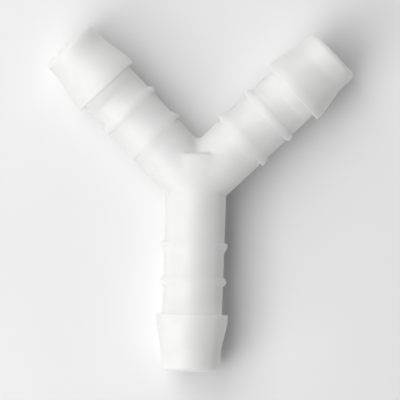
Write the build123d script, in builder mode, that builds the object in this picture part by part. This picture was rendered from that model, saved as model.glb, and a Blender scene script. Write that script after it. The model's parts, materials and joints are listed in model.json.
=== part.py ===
from build123d import *
from math import radians, tan
import os

# Tubing Y connector for flexible hose, moulded in one piece. Sizes are in millimetres.
# The Y lies flat: the axes of its three arms are in the XY plane and cross at the origin.
# The stem points along -Y, and the two branches spread evenly to both sides of +Y.
# Every arm ends in the same barbed hose end, so its rings are placed from the tip inwards.

# the arms
stem_length = 30.2  # crossing to tip
branch_length = 30.2  # crossing to tip
branch_angle = 90.0  # between the two branches
tube_diameter = 9.6  # plain tube between the rings
bore_diameter = 6.5  # flow passage, the same in all three arms

# where the arms meet
hub_length = 4.6  # crossing to the flat end of the hub that carries the branches
hub_width = 15.7  # across both branches, at that end
hub_height = 10.0
crotch_radius = 0.9  # in the V between the branches

# end barb: a sharp step that bites into the hose, a level land, then a long taper
end_barb_diameter = 11.5
end_barb_length = 9.2  # step to tip
end_barb_land = 1.3
nose_diameter = 9.6  # straight lead-in that enters the hose first
nose_length = 3.35
tip_length = 0.9  # rounded outer edge of the flat tip, along the arm
tip_depth = 0.6  # the same edge, towards the bore
mouth_chamfer = 0.25  # edge of the bore at the tip

# middle bead: a low ring with two sloping flanks, behind the end barb
bead_setback = 5.2  # end barb's step back to the middle of the bead
bead_diameter = 10.6
bead_foot = 1.5  # width on the tube
bead_crest = 0.7  # width on top

# inner barb: a small sharp ring nearest the crossing
inner_barb_setback = 11.45  # end barb's step back to the inner barb's step
inner_barb_diameter = 10.6
inner_barb_land = 0.75
inner_barb_taper = 0.95

tube_radius = tube_diameter / 2
bore_radius = bore_diameter / 2
nose_radius = nose_diameter / 2
bead_radius = bead_diameter / 2
end_barb_radius = end_barb_diameter / 2
inner_barb_radius = inner_barb_diameter / 2

# the wall at the tip limits how far its two edges are rounded and chamfered
tip_wall = nose_radius - bore_radius
tip_drop = min(tip_depth, 0.6 * tip_wall)
mouth_break = min(mouth_chamfer, 0.3 * tip_wall)

# the hub grows out of the stem just inside the corners between the stem and the branches
hub_start = 0.8 * tube_radius * tan(radians(branch_angle / 4))

# each arm's direction from +X, where its barrel starts on its own axis, and its length
arms = [
    (-90, hub_start, stem_length),
    (90 - branch_angle / 2, 0, branch_length),
    (90 + branch_angle / 2, 0, branch_length),
]


def arm_plane(direction):
    """The plane of the Y, turned so that its X axis runs out along one arm."""
    return Plane.XY.rotated((0, 0, direction))


def is_mouth(edge):
    """True for the circle where a bore opens on its arm's tip."""
    return edge.geom_type == GeomType.CIRCLE and abs(edge.radius - bore_radius) < 0.001


with BuildPart() as fitting_body:
    # the hub widens from the stem's round section to an oval under both branches
    with BuildSketch(Plane(origin=(0, -hub_start, 0), x_dir=(1, 0, 0), z_dir=(0, 1, 0))):
        Circle(tube_radius)
    with BuildSketch(Plane(origin=(0, hub_length, 0), x_dir=(1, 0, 0), z_dir=(0, 1, 0))):
        Ellipse(hub_width / 2, hub_height / 2)
    loft()

    for direction, start, length in arms:
        # half section of the arm, with x along its axis and y its radius
        step = length - end_barb_length
        bead_middle = step - bead_setback
        inner_step = step - inner_barb_setback
        inner_land_end = inner_step + inner_barb_land
        with BuildSketch(arm_plane(direction)):
            with BuildLine():
                flank = Polyline(
                    (start, 0),
                    (start, tube_radius),
                    (inner_step, tube_radius),
                    (inner_step, inner_barb_radius),
                    (inner_land_end, inner_barb_radius),
                    (inner_land_end + inner_barb_taper, tube_radius),
                    (bead_middle - bead_foot / 2, tube_radius),
                    (bead_middle - bead_crest / 2, bead_radius),
                    (bead_middle + bead_crest / 2, bead_radius),
                    (bead_middle + bead_foot / 2, tube_radius),
                    (step, tube_radius),
                    (step, end_barb_radius),
                    (step + end_barb_land, end_barb_radius),
                    (length - nose_length, nose_radius),
                    (length - tip_length, nose_radius),
                )
                tip_face = (length, nose_radius - tip_drop)
                rounding = TangentArc(flank @ 1, tip_face, tangent=(1, 0))
                Polyline(rounding @ 1, (length, 0), (start, 0))
            make_face()
        revolve(axis=Axis((0, 0, 0), arm_plane(direction).x_dir))

    # the edge at the bottom of the V, on the plane halfway between the branches
    crotch = edges().filter_by_position(Axis.X, -0.01, 0.01).sort_by(Axis.Y)[-1]
    fillet(crotch, radius=crotch_radius)

    # the three bores run in from the tips and meet at the crossing
    for direction, _, length in arms:
        along = arm_plane(direction).x_dir
        with Locations(Plane(origin=along * length, z_dir=along)):
            Hole(radius=bore_radius, depth=length)
    chamfer(edges().filter_by(is_mouth), length=mouth_break)

os.makedirs("parts", exist_ok=True)
fitting_body.part.label = "fitting_body"
export_step(fitting_body.part, "parts/fitting_body.step")
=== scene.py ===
import json
import math

import bpy
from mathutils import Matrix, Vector


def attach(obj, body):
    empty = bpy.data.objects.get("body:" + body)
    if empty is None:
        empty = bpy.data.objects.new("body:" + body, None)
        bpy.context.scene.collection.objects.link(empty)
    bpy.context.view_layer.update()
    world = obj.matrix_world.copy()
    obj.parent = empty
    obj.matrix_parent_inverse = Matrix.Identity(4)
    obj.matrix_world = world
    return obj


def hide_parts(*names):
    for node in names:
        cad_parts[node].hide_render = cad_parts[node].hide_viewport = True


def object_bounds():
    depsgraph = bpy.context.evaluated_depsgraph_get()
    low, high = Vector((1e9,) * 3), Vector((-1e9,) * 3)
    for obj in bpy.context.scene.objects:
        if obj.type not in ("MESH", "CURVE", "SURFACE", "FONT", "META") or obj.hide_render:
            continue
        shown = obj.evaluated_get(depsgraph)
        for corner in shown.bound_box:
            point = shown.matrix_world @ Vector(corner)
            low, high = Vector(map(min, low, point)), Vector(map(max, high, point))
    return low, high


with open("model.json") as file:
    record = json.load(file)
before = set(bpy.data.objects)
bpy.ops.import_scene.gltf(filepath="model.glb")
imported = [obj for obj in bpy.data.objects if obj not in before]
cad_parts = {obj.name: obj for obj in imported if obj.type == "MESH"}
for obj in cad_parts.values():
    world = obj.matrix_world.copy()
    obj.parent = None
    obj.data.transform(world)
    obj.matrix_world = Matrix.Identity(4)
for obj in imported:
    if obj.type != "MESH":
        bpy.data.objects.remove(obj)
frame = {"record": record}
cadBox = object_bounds()
mounts = {mount["name"]: mount for mount in frame["record"]["mounts"]}
tiny = 0.000001  # places closer than this count as one


def deselectAll():
    if bpy.context.object and bpy.context.object.mode != "OBJECT":
        bpy.ops.object.mode_set(mode="OBJECT")
    bpy.ops.object.select_all(action="DESELECT")


def activate(piece):
    deselectAll()
    piece.select_set(True)
    bpy.context.view_layer.objects.active = piece


def selectVerts(piece, test):
    # leaves the piece in edit mode with only the vertices that pass the test selected
    activate(piece)
    bpy.ops.object.mode_set(mode="EDIT")
    bpy.ops.mesh.select_mode(type="VERT")
    bpy.ops.mesh.select_all(action="DESELECT")
    bpy.ops.object.mode_set(mode="OBJECT")
    for vert in piece.data.vertices:
        vert.select = test(vert.co)
    bpy.ops.object.mode_set(mode="EDIT")


def selectEdges(piece, test):
    # the same for edges, by the places of their two ends
    activate(piece)
    bpy.ops.object.mode_set(mode="EDIT")
    bpy.ops.mesh.select_mode(type="EDGE")
    bpy.ops.mesh.select_all(action="DESELECT")
    bpy.ops.object.mode_set(mode="OBJECT")
    verts = piece.data.vertices
    for edge in piece.data.edges:
        edge.select = test(verts[edge.vertices[0]].co, verts[edge.vertices[1]].co)
    bpy.ops.object.mode_set(mode="EDIT")


def applyAll(piece):
    activate(piece)
    for modifier in list(piece.modifiers):
        bpy.ops.object.modifier_apply(modifier=modifier.name)


def tidyMesh(piece):
    # merges what a union leaves doubled or without width
    activate(piece)
    bpy.ops.object.mode_set(mode="EDIT")
    bpy.ops.mesh.select_all(action="SELECT")
    bpy.ops.mesh.remove_doubles(threshold=2 * tiny)
    bpy.ops.mesh.dissolve_degenerate(threshold=5 * tiny)
    bpy.ops.mesh.normals_make_consistent(inside=False)
    bpy.ops.object.mode_set(mode="OBJECT")


fitting = {
    "hubLength": 0.0046,  # crossing to the flat end of the hub that carries the branches
    "hubWidth": 0.018,
    "hubHeight": 0.01,
    "hubDrop": 0.8,  # where it starts on the stem, as a share of the way to the side corners
    "hubFlare": 2.2,  # how much faster than evenly it widens at first
    "hubRings": 12,
    "hubEdge": 0.0004,  # rounding of its end
    "crotchWidth": 0.00127,  # fillet in the V between the branches
    "crotchStart": 0.65,  # share of the hub's length that hides the fillet's beginning
    "crotchSteps": 8,
    "endBarbLength": 0.0092,  # step to tip
    "endBarbLand": 0.0013,
    "noseLength": 0.00335,
    "beadSetback": 0.0052,  # end barb's step back to the middle of the bead
    "beadFoot": 0.0015,
    "beadHeight": 0.0005,
    "beadSteps": 12,
    "innerBarbSetback": 0.01145,  # end barb's step back to the inner barb's step
    "innerBarbHeight": 0.0005,
    "innerBarbLand": 0.00075,
    "innerBarbTaper": 0.00095,
    "tipLength": 0.0009,  # rounded outer edge of the tip, along the arm
    "tipDepth": 0.00063,  # the same edge, towards the bore
    "tipSteps": 8,
    "mouthRadius": 0.00025,
    "mouthSteps": 5,
    "crestRadius": 0.00012,  # sharp corners of the barbs
    "rootRadius": 0.00015,  # foot of each step
    "cornerSteps": 4,
    "blendLength": 0.0004,  # where a land or the tube turns into a taper
    "blendSteps": 5,
    "spinSteps": 128,
}
levelling = {
    # the rings stand lower on top and underneath, and keep their full height at both sides
    "amount": 0.9,  # share of their relief that goes
    "reach": 0.0009,  # how far each height is averaged along the arm
    "span": 3,  # how many reaches the average takes in to each side
    "samples": 24,
    "margin": 2.5,  # reaches before the inner barb where the plain tube ends
    "rampMargin": 1.2,  # reaches before the end barb's step where the average already meets it
    "sideShare": 0.1,  # height over radius up to which the full height stays
    "easeShare": 0.6,  # how much more height over radius brings the whole amount
    "spacing": 0.0004,  # rings of vertices are at most this far apart there
    "cutRounds": 6,
    "cutPast": 0.001,  # how far past the end barb's step the rings are still cut
}
junction = {
    # the creases between hub and branches are melted in a zone on top and underneath
    "back": 0.0008,  # how far the zone goes down the stem from the crossing
    "ahead": 0.0062,  # and how far towards the V
    "side": 0.0028,  # half its width at the crossing
    "spread": 0.25,  # how much that grows for each metre towards the V
    "hollow": 0.003,  # it holds only what lies farther than this above or below the axes
    "passes": (0.0012, 0.0006, 0),  # how much wider the zone is in each pass
    "strength": 0.5,
    "repeat": 6,
    "cutEnd": 0.0092,  # edges this near to the crossing are cut short first
    "cutRounds": 5,
}
tubeRadius = mounts["stem_hose_end"]["dims"]["r_mm"] / 1000
boreRadius = mounts["stem_bore"]["dims"]["r_mm"] / 1000
barbRadius = cadBox[1].z
armLength = -cadBox[0].y
arms = {name: Vector(mounts[name + "_bore"]["axis"]) for name in ("stem", "left_branch", "right_branch")}


def drawProfile(name, direction, points):
    # points are (distance along the arm, height above its axis); the plane is merged to one
    # vertex, from which the line is drawn
    places = [direction * along + Vector((0, 0, up)) for along, up in points]
    deselectAll()
    bpy.ops.mesh.primitive_plane_add(size=0.001, location=(0, 0, 0))
    profile = bpy.context.object
    profile.name = name
    bpy.ops.object.mode_set(mode="EDIT")
    bpy.ops.mesh.select_mode(type="VERT")
    bpy.ops.mesh.merge(type="CENTER")
    bpy.ops.transform.translate(value=places[0])
    for before, after in zip(places, places[1:]):
        bpy.ops.mesh.extrude_region_move(TRANSFORM_OT_translate={"value": after - before})
    bpy.ops.object.mode_set(mode="OBJECT")
    return profile


def roundCorner(profile, direction, corner, size, steps):
    # size is how far back from the corner the rounding starts on both sides
    place = direction * corner[0] + Vector((0, 0, corner[1]))
    selectVerts(profile, lambda co: (co - place).length < tiny)
    bpy.ops.mesh.bevel(
        offset=size, offset_type="OFFSET", segments=steps, affect="VERTICES", profile=0.5
    )
    bpy.ops.object.mode_set(mode="OBJECT")


def spinRound(profile, direction):
    selectVerts(profile, lambda co: True)
    bpy.ops.mesh.spin(steps=fitting["spinSteps"], angle=2 * math.pi, center=(0, 0, 0), axis=direction)
    bpy.ops.mesh.select_all(action="SELECT")
    bpy.ops.mesh.remove_doubles(threshold=tiny)
    bpy.ops.mesh.normals_make_consistent(inside=False)
    bpy.ops.object.mode_set(mode="OBJECT")


def bowPoints(start, end, height, steps):
    # a circular bow over the stretch from start to end, both at one radius
    half = (end[0] - start[0]) / 2
    radius = (half**2 + height**2) / (2 * height)
    sweep = math.asin(half / radius)
    middle = (start[0] + half, start[1] + height - radius)
    angles = [-sweep + 2 * sweep * step / steps for step in range(steps + 1)]
    return [(middle[0] + radius * math.sin(a), middle[1] + radius * math.cos(a)) for a in angles]


def tipPoints(steps):
    # the rounded edge of the tip, level with the nose where it starts
    length, depth = fitting["tipLength"], fitting["tipDepth"]
    sweep = 2 * math.atan(depth / length)
    radius = length / math.sin(sweep)
    middle = (armLength - length, tubeRadius - radius)
    angles = [sweep * step / steps for step in range(steps + 1)]
    return [(middle[0] + radius * math.sin(a), middle[1] + radius * math.cos(a)) for a in angles]


def cutLong(profile, direction, ends):
    # halves the long edges of a profile between two distances along the arm
    def isLong(a, b):
        low, high = sorted((a.dot(direction), b.dot(direction)))
        inside = low > ends[0] - 10 * tiny and high < ends[1] + levelling["cutPast"]
        return inside and min(a.z, b.z) > boreRadius and (a - b).length > levelling["spacing"]

    selectEdges(profile, isLong)
    bpy.ops.mesh.subdivide(number_cuts=1)
    bpy.ops.object.mode_set(mode="OBJECT")


def makeArm(name, direction, start):
    barbStep = armLength - fitting["endBarbLength"]
    barbLandEnd = barbStep + fitting["endBarbLand"]
    noseStart = armLength - fitting["noseLength"]
    beadMiddle = barbStep - fitting["beadSetback"]
    innerStep = barbStep - fitting["innerBarbSetback"]
    innerLandEnd = innerStep + fitting["innerBarbLand"]
    innerTaperEnd = innerLandEnd + fitting["innerBarbTaper"]
    innerRadius = tubeRadius + fitting["innerBarbHeight"]
    beadEnds = [(beadMiddle + side * fitting["beadFoot"] / 2, tubeRadius) for side in (-1, 1)]
    plainEnd = innerStep - levelling["margin"] * levelling["reach"]
    points = [
        (start, 0),
        (start, tubeRadius),
        (plainEnd, tubeRadius),
        (innerStep, tubeRadius),
        (innerStep, innerRadius),
        (innerLandEnd, innerRadius),
        (innerTaperEnd, tubeRadius),
        *bowPoints(*beadEnds, fitting["beadHeight"], fitting["beadSteps"]),
        (barbStep, tubeRadius),
        (barbStep, barbRadius),
        (barbLandEnd, barbRadius),
        (noseStart, tubeRadius),
        *tipPoints(fitting["tipSteps"]),
        (armLength, 0),
    ]
    early = barbStep - levelling["rampMargin"] * levelling["reach"]
    heights = [(early if along == barbStep else along, up) for along, up in points[3:]]
    root, crest, blend = fitting["rootRadius"], fitting["crestRadius"], fitting["blendLength"]
    cornerSteps, blendSteps = fitting["cornerSteps"], fitting["blendSteps"]
    corners = [
        (innerStep, tubeRadius, root, cornerSteps),
        (innerStep, innerRadius, crest, cornerSteps),
        (innerLandEnd, innerRadius, blend / 2, cornerSteps),
        (innerTaperEnd, tubeRadius, blend / 2, cornerSteps),
        (barbStep, tubeRadius, root, cornerSteps),
        (barbStep, barbRadius, crest, cornerSteps),
        (barbLandEnd, barbRadius, blend, blendSteps),
        (noseStart, tubeRadius, blend, blendSteps),
    ]
    arm = drawProfile(name, direction, points)
    for along, up, size, steps in corners:
        roundCorner(arm, direction, (along, up), size, steps)
    ends = (plainEnd, barbStep + tiny)
    for _ in range(levelling["cutRounds"]):
        cutLong(arm, direction, ends)
    spinRound(arm, direction)
    levelRings(arm, direction, heights, ends)
    return arm


def makeBore(name, direction):
    mouth, steps = fitting["mouthRadius"], fitting["mouthSteps"]
    mouthStart = armLength - mouth
    angles = [math.pi / 2 * step / steps for step in range(steps + 1)]
    flare = [(mouthStart + mouth * math.sin(a), boreRadius + mouth * (1 - math.cos(a))) for a in angles]
    bore = drawProfile(name, direction, [(0, 0), (0, boreRadius), *flare, (armLength, 0)])
    spinRound(bore, direction)
    return bore


def growHub(stem, direction, start):
    # draws the stem's inner end out into the oval hub under the branches, as one skin
    def atStart(place):
        return abs(place.dot(direction) - start) < tiny

    selectVerts(stem, lambda co: (co - direction * start).length < tiny)
    bpy.ops.mesh.delete(type="VERT")
    bpy.ops.object.mode_set(mode="OBJECT")
    selectEdges(stem, lambda a, b: atStart(a) and atStart(b))
    reach, rings = start + fitting["hubLength"], fitting["hubRings"]
    size = (tubeRadius, tubeRadius)
    for ring in range(1, rings + 1):
        share = ring / rings
        swell = 1 - (1 - share) ** fitting["hubFlare"]
        wanted = (
            tubeRadius + (fitting["hubWidth"] / 2 - tubeRadius) * swell,
            tubeRadius + (fitting["hubHeight"] / 2 - tubeRadius) * swell,
        )
        bpy.ops.mesh.extrude_region_move(TRANSFORM_OT_translate={"value": -direction * reach / rings})
        wider = (wanted[0] / size[0], 1, wanted[1] / size[1])
        bpy.ops.transform.resize(value=wider, center_override=direction * (start - reach * share))
        size = wanted
    bpy.ops.mesh.edge_face_add()
    bpy.ops.mesh.normals_make_consistent(inside=False)
    bpy.ops.mesh.select_mode(type="EDGE")
    bpy.ops.mesh.bevel(
        offset=fitting["hubEdge"], offset_type="OFFSET", segments=fitting["cornerSteps"], profile=0.5
    )
    bpy.ops.mesh.select_all(action="SELECT")
    bpy.ops.mesh.normals_make_consistent(inside=False)
    bpy.ops.object.mode_set(mode="OBJECT")


def radiusAt(points, along):
    # the full height of the profile, at one distance along the arm
    for before, after in zip(points, points[1:]):
        if before[0] <= along < after[0]:
            return before[1] + (after[1] - before[1]) * (along - before[0]) / (after[0] - before[0])
    return points[0][1]


def levelRings(arm, direction, heights, ends):
    # lowers the rings on top and underneath, between two distances along the arm
    reach, samples = levelling["reach"], levelling["samples"]
    offsets = [reach * levelling["span"] * (step / samples - 0.5) * 2 for step in range(samples + 1)]
    weights = [math.exp(-((offset / reach) ** 2) / 2) for offset in offsets]
    levels = {}
    for vert in arm.data.vertices:
        along = vert.co.dot(direction)
        spread = vert.co - direction * along
        radius = spread.length
        if not ends[0] < along < ends[1] or radius < boreRadius:
            continue
        key = round(along, 7)  # the same for a whole ring of vertices
        if key not in levels:
            near = [weight * radiusAt(heights, along + offset) for weight, offset in zip(weights, offsets)]
            levels[key] = sum(near) / sum(weights)
        upright = min(max((abs(spread.z) / radius - levelling["sideShare"]) / levelling["easeShare"], 0), 1)
        ease = min((along - ends[0]) / reach, 1)
        smooth = upright * upright * (3 - 2 * upright)
        share = levelling["amount"] * smooth * ease
        vert.co += spread * ((levels[key] - radius) * share / radius)


def unite(piece, other):
    union = piece.modifiers.new("union", "BOOLEAN")
    union.operation = "UNION"
    union.object = other
    union.solver = "EXACT"
    applyAll(piece)
    bpy.data.objects.remove(other)
    tidyMesh(piece)


def blendJunction(piece):
    # melts the creases between the hub and the branches, less and less towards the zone's edge
    def isLong(a, b):
        return max(a.length, b.length) < junction["cutEnd"] and (a - b).length > levelling["spacing"]

    for _ in range(junction["cutRounds"]):
        selectEdges(piece, isLong)
        bpy.ops.mesh.subdivide(number_cuts=1)
        bpy.ops.object.mode_set(mode="OBJECT")
    for grow in junction["passes"]:
        low, high = -junction["back"] - grow, junction["ahead"] + grow
        side = junction["side"] + grow

        def isInside(co):
            narrow = abs(co.x) < side + junction["spread"] * co.y
            return low < co.y < high and narrow and abs(co.z) > junction["hollow"]

        selectVerts(piece, isInside)
        bpy.ops.mesh.vertices_smooth(factor=junction["strength"], repeat=junction["repeat"])
        bpy.ops.object.mode_set(mode="OBJECT")


def openTips(piece):
    # takes the flat disc off each tip, which leaves a ring of edges there
    tips = [direction * armLength for direction in arms.values()]
    selectVerts(piece, lambda co: any((co - tip).length < 10 * tiny for tip in tips))
    bpy.ops.mesh.delete(type="VERT")
    bpy.ops.object.mode_set(mode="OBJECT")


# the outer skin: the branches and the fillet between them first, and then the stem and its hub
body = makeArm("fitting", arms["left_branch"], 0)
unite(body, makeArm("right", arms["right_branch"], 0))
hidden = fitting["crotchStart"] * fitting["hubLength"]
selectEdges(body, lambda a, b: max(abs(a.x), abs(b.x)) < tiny and min(a.y, b.y) > hidden)
bpy.ops.mesh.bevel(
    offset=fitting["crotchWidth"], offset_type="WIDTH", segments=fitting["crotchSteps"], profile=0.5,
    clamp_overlap=False,
)
bpy.ops.object.mode_set(mode="OBJECT")
# the side corners lie on the line that halves the angle between the stem and a branch
lean = arms["right_branch"].angle(-arms["stem"]) / 2
hubStart = fitting["hubDrop"] * tubeRadius * math.tan(lean)
stem = makeArm("stem", arms["stem"], hubStart)
growHub(stem, arms["stem"], hubStart)
unite(body, stem)
blendJunction(body)
openTips(body)
print("outer skin:", len(body.data.vertices), "vertices")

# the bore's skin, turned to face inwards
bore = makeBore("bore", arms["stem"])
for side in ("left_branch", "right_branch"):
    unite(bore, makeBore(side, arms[side]))
openTips(bore)
bpy.ops.object.mode_set(mode="EDIT")
bpy.ops.mesh.select_all(action="SELECT")
bpy.ops.mesh.flip_normals()
bpy.ops.mesh.delete_loose(use_faces=False)
bpy.ops.object.mode_set(mode="OBJECT")
print("bores:", len(bore.data.vertices), "vertices")

# both skins become one closed piece, with a flat ring at each tip
activate(body)
bore.select_set(True)
bpy.ops.object.join()
for direction in arms.values():
    selectEdges(body, lambda a, b: min(a.dot(direction), b.dot(direction)) > armLength - tiny)
    bpy.ops.mesh.bridge_edge_loops()
bpy.ops.mesh.select_all(action="SELECT")
bpy.ops.mesh.normals_make_consistent(inside=False)
bpy.ops.object.mode_set(mode="OBJECT")
sharpFrom = math.radians(35)  # edges that turn more than this stay sharp
bpy.ops.object.shade_smooth_by_angle(angle=sharpFrom)
weights = body.modifiers.new("evenNormals", "WEIGHTED_NORMAL")
weights.keep_sharp = True
applyAll(body)
print("fitting closed:", len(body.data.vertices), "vertices")
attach(body, "root")
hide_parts("fitting_body")


class Signal:
    # a shader value that can be written into sums; node() adds every other kind of node
    def __init__(self, tree, socket=None):
        self.tree = tree
        self.socket = socket

    def node(self, kind, settings, values, output=0):
        made = self.tree.nodes.new(kind)
        for name, setting in settings.items():
            setattr(made, name, setting)
        for name, value in values.items():
            if isinstance(value, Signal):
                self.tree.links.new(value.socket, made.inputs[name])
            else:
                made.inputs[name].default_value = value
        return Signal(self.tree, made.outputs[output])

    def maths(self, operation, first, second=0.0):
        return self.node("ShaderNodeMath", {"operation": operation}, {0: first, 1: second})

    def __add__(self, other):
        return self.maths("ADD", self, other)

    def __radd__(self, other):
        return self.maths("ADD", other, self)

    def __sub__(self, other):
        return self.maths("SUBTRACT", self, other)

    def __rsub__(self, other):
        return self.maths("SUBTRACT", other, self)

    def __mul__(self, other):
        return self.maths("MULTIPLY", self, other)

    def __rmul__(self, other):
        return self.maths("MULTIPLY", other, self)

    def noise(self, scale, detail):
        return self.node("ShaderNodeTexNoise", {}, {"Vector": self, "Scale": scale, "Detail": detail})

    def fade(self, start, end):
        # 1 up to the start, 0 from the end on
        ends = {"Value": self, "From Min": start, "From Max": end, "To Min": 1.0, "To Max": 0.0}
        return self.node("ShaderNodeMapRange", {"interpolation_type": "SMOOTHSTEP"}, ends)

    def mixed(self, colour, other):
        # of this node's numbered sockets, 6 and 7 are its two colours, and output 2 is their mix
        return self.node("ShaderNodeMix", {"data_type": "RGBA"}, {0: self, 6: colour, 7: other}, 2)


def newPaint(name):
    # an empty material, with its shader and the Object coordinates that its textures use
    paint = bpy.data.materials.new(name)
    paint.use_nodes = True
    shader = paint.node_tree.nodes["Principled BSDF"]
    place = Signal(paint.node_tree).node("ShaderNodeTexCoord", {}, {}, "Object")
    return paint, shader, place


def feed(shader, name, signal):
    signal.tree.links.new(signal.socket, shader.inputs[name])


plastic = {
    "colour": (0.822, 0.822, 0.808, 1),
    "cloudColour": (0.737, 0.742, 0.737, 1),
    "seamColour": (0.76, 0.76, 0.74, 1),
    "cloudScale": 260,
    "cloudDetail": 3.0,
    "speckScale": 1300,
    "speckShare": 0.2,  # of the colour's changes, the rest being clouds
    "roughness": 0.42,
    "roughnessSpread": 0.14,
    "dullSpeckShare": 0.4,  # of the gloss's changes, the rest being clouds
    "seamRoughness": 0.1,  # how much duller the seam is
    "subsurface": 0.6,
    "subsurfaceRadius": (1.0, 0.95, 0.85),
    "subsurfaceScale": 0.0016,
    "ior": 1.49,
    "grainScale": 2600,
    "grainDetail": 2.0,  # of the specks too
    "grainDepth": 0.000004,
    "swellDepth": 0.000008,  # slow waves under the grain, where the clouds are
    "seamWidth": 0.00006,  # where the halves of the mould met
    "seamDepth": 0.00002,
}


def paintPlastic(name):
    paint, shader, place = newPaint(name)
    cloud = place.noise(plastic["cloudScale"], plastic["cloudDetail"])
    speck = place.noise(plastic["speckScale"], plastic["grainDetail"])
    height = place.node("ShaderNodeSeparateXYZ", {}, {0: place}, "Z")
    seam = height.maths("ABSOLUTE", height).fade(plastic["seamWidth"] / 3, plastic["seamWidth"])

    share = plastic["speckShare"]
    tone = cloud * (1 - share) + speck * share
    shadeOfWhite = tone.mixed(plastic["colour"], plastic["cloudColour"])
    feed(shader, "Base Color", seam.mixed(shadeOfWhite, plastic["seamColour"]))

    share = plastic["dullSpeckShare"]
    dullness = cloud * (1 - share) + speck * share - 0.5  # both noises swing about 0.5
    roughness = plastic["roughness"] + plastic["roughnessSpread"] * dullness
    feed(shader, "Roughness", roughness + plastic["seamRoughness"] * seam)

    grain = place.noise(plastic["grainScale"], plastic["grainDetail"]) * plastic["grainDepth"]
    relief = grain + cloud * plastic["swellDepth"] + plastic["seamDepth"] * seam
    feed(shader, "Normal", place.node("ShaderNodeBump", {}, {"Distance": 1.0, "Height": relief}, "Normal"))

    shader.inputs["Subsurface Weight"].default_value = plastic["subsurface"]
    shader.inputs["Subsurface Radius"].default_value = plastic["subsurfaceRadius"]
    shader.inputs["Subsurface Scale"].default_value = plastic["subsurfaceScale"]
    shader.inputs["IOR"].default_value = plastic["ior"]
    return paint


body.data.materials.clear()
body.data.materials.append(paintPlastic("whitePlastic"))
print("plastic painted")

floorPlan = {
    "size": 4,
    "colour": (0.86, 0.865, 0.86, 1),
    "shade": (0.845, 0.85, 0.845, 1),  # of its faint wide patches
    "patchScale": 60,
    "patchDetail": 3.0,
    "roughness": 0.85,
}
deselectAll()
bpy.ops.mesh.primitive_plane_add(size=floorPlan["size"], location=(0, 0, cadBox[0].z))
floor = bpy.context.object
floor.name = "floor"
floorPaint, floorShader, floorPlace = newPaint("paleFloor")
patches = floorPlace.noise(floorPlan["patchScale"], floorPlan["patchDetail"])
feed(floorShader, "Base Color", patches.mixed(floorPlan["colour"], floorPlan["shade"]))
floorShader.inputs["Roughness"].default_value = floorPlan["roughness"]
floorShader.inputs["Specular IOR Level"].default_value = 0.0
floor.data.materials.append(floorPaint)
print("floor laid")

view = {
    "lens": 800,
    "sensor": 36,
    "across": 0.064,  # metres that the square frame spans
    "pixels": 400,
    "crossingPixel": (196.5, 182.7),  # where the arms' axes cross in it, from the top left
    "roll": math.radians(2.0),
    "reach": 10,  # how far away it still sees things
}
scale = view["across"] / view["pixels"]
right = (view["pixels"] / 2 - view["crossingPixel"][0]) * scale
up = (view["crossingPixel"][1] - view["pixels"] / 2) * scale
cos, sin = math.cos(view["roll"]), math.sin(view["roll"])
distance = view["across"] * view["lens"] / view["sensor"]
place = (right * cos - up * sin, right * sin + up * cos, distance)
bpy.ops.object.camera_add(location=place, rotation=(0, 0, view["roll"]))
camera = bpy.context.object
camera.data.lens = view["lens"]
camera.data.sensor_width = view["sensor"]
camera.data.clip_end = view["reach"]
bpy.context.scene.camera = camera
print("camera placed")

lights = {
    # tilt is the angle from overhead, turn is the compass side of the lamp, from +X towards +Y
    "softbox": {"tilt": 28, "turn": 180, "width": 0.27, "length": 0.6, "power": 1.35},
    "edgeLight": {"tilt": 78, "turn": 358, "width": 0.09, "length": 0.6, "power": 0.36},
    "lowFill": {"tilt": 61, "turn": 225, "width": 0.18, "length": 0.25, "power": 0.37},
    "highFill": {"tilt": 65, "turn": 105, "width": 0.18, "length": 0.5, "power": 0.38},
    "frontFill": {"tilt": 70, "turn": 272, "width": 0.18, "length": 0.25, "power": 0.07},
}
lampDistance = 0.35  # from the crossing
for name, spec in lights.items():
    tilt, turn = math.radians(spec["tilt"]), math.radians(spec["turn"])
    flat = lampDistance * math.sin(tilt)
    place = (flat * math.cos(turn), flat * math.sin(turn), lampDistance * math.cos(tilt))
    bpy.ops.object.light_add(type="AREA", location=place, rotation=(0, tilt, turn))
    light = bpy.context.object
    light.name = name
    light.data.shape = "RECTANGLE"
    light.data.size = spec["width"]
    light.data.size_y = spec["length"]
    light.data.energy = spec["power"]
    light.visible_camera = False
print("lamps lit:", len(lights))

studio = {
    "tint": (0.97, 1.0, 1.0, 1),
    "fill": 0.02,  # light from all around
    "pale": 0.8,  # how the surroundings look to the camera and in gloss
    "paleTo": ("Is Camera Ray", "Is Glossy Ray", "Is Transmission Ray"),
}
world = bpy.data.worlds.new("studio")
world.use_nodes = True
backdrop = world.node_tree.nodes["Background"]
backdrop.inputs["Color"].default_value = studio["tint"]
rays = [Signal(world.node_tree).node("ShaderNodeLightPath", {}, {}, name) for name in studio["paleTo"]]
pale = rays[0] + rays[1] + rays[2]
feed(backdrop, "Strength", studio["fill"] + pale * (studio["pale"] - studio["fill"]))
bpy.context.scene.world = world
bpy.context.scene.view_settings.view_transform = "Standard"
print("surroundings set")
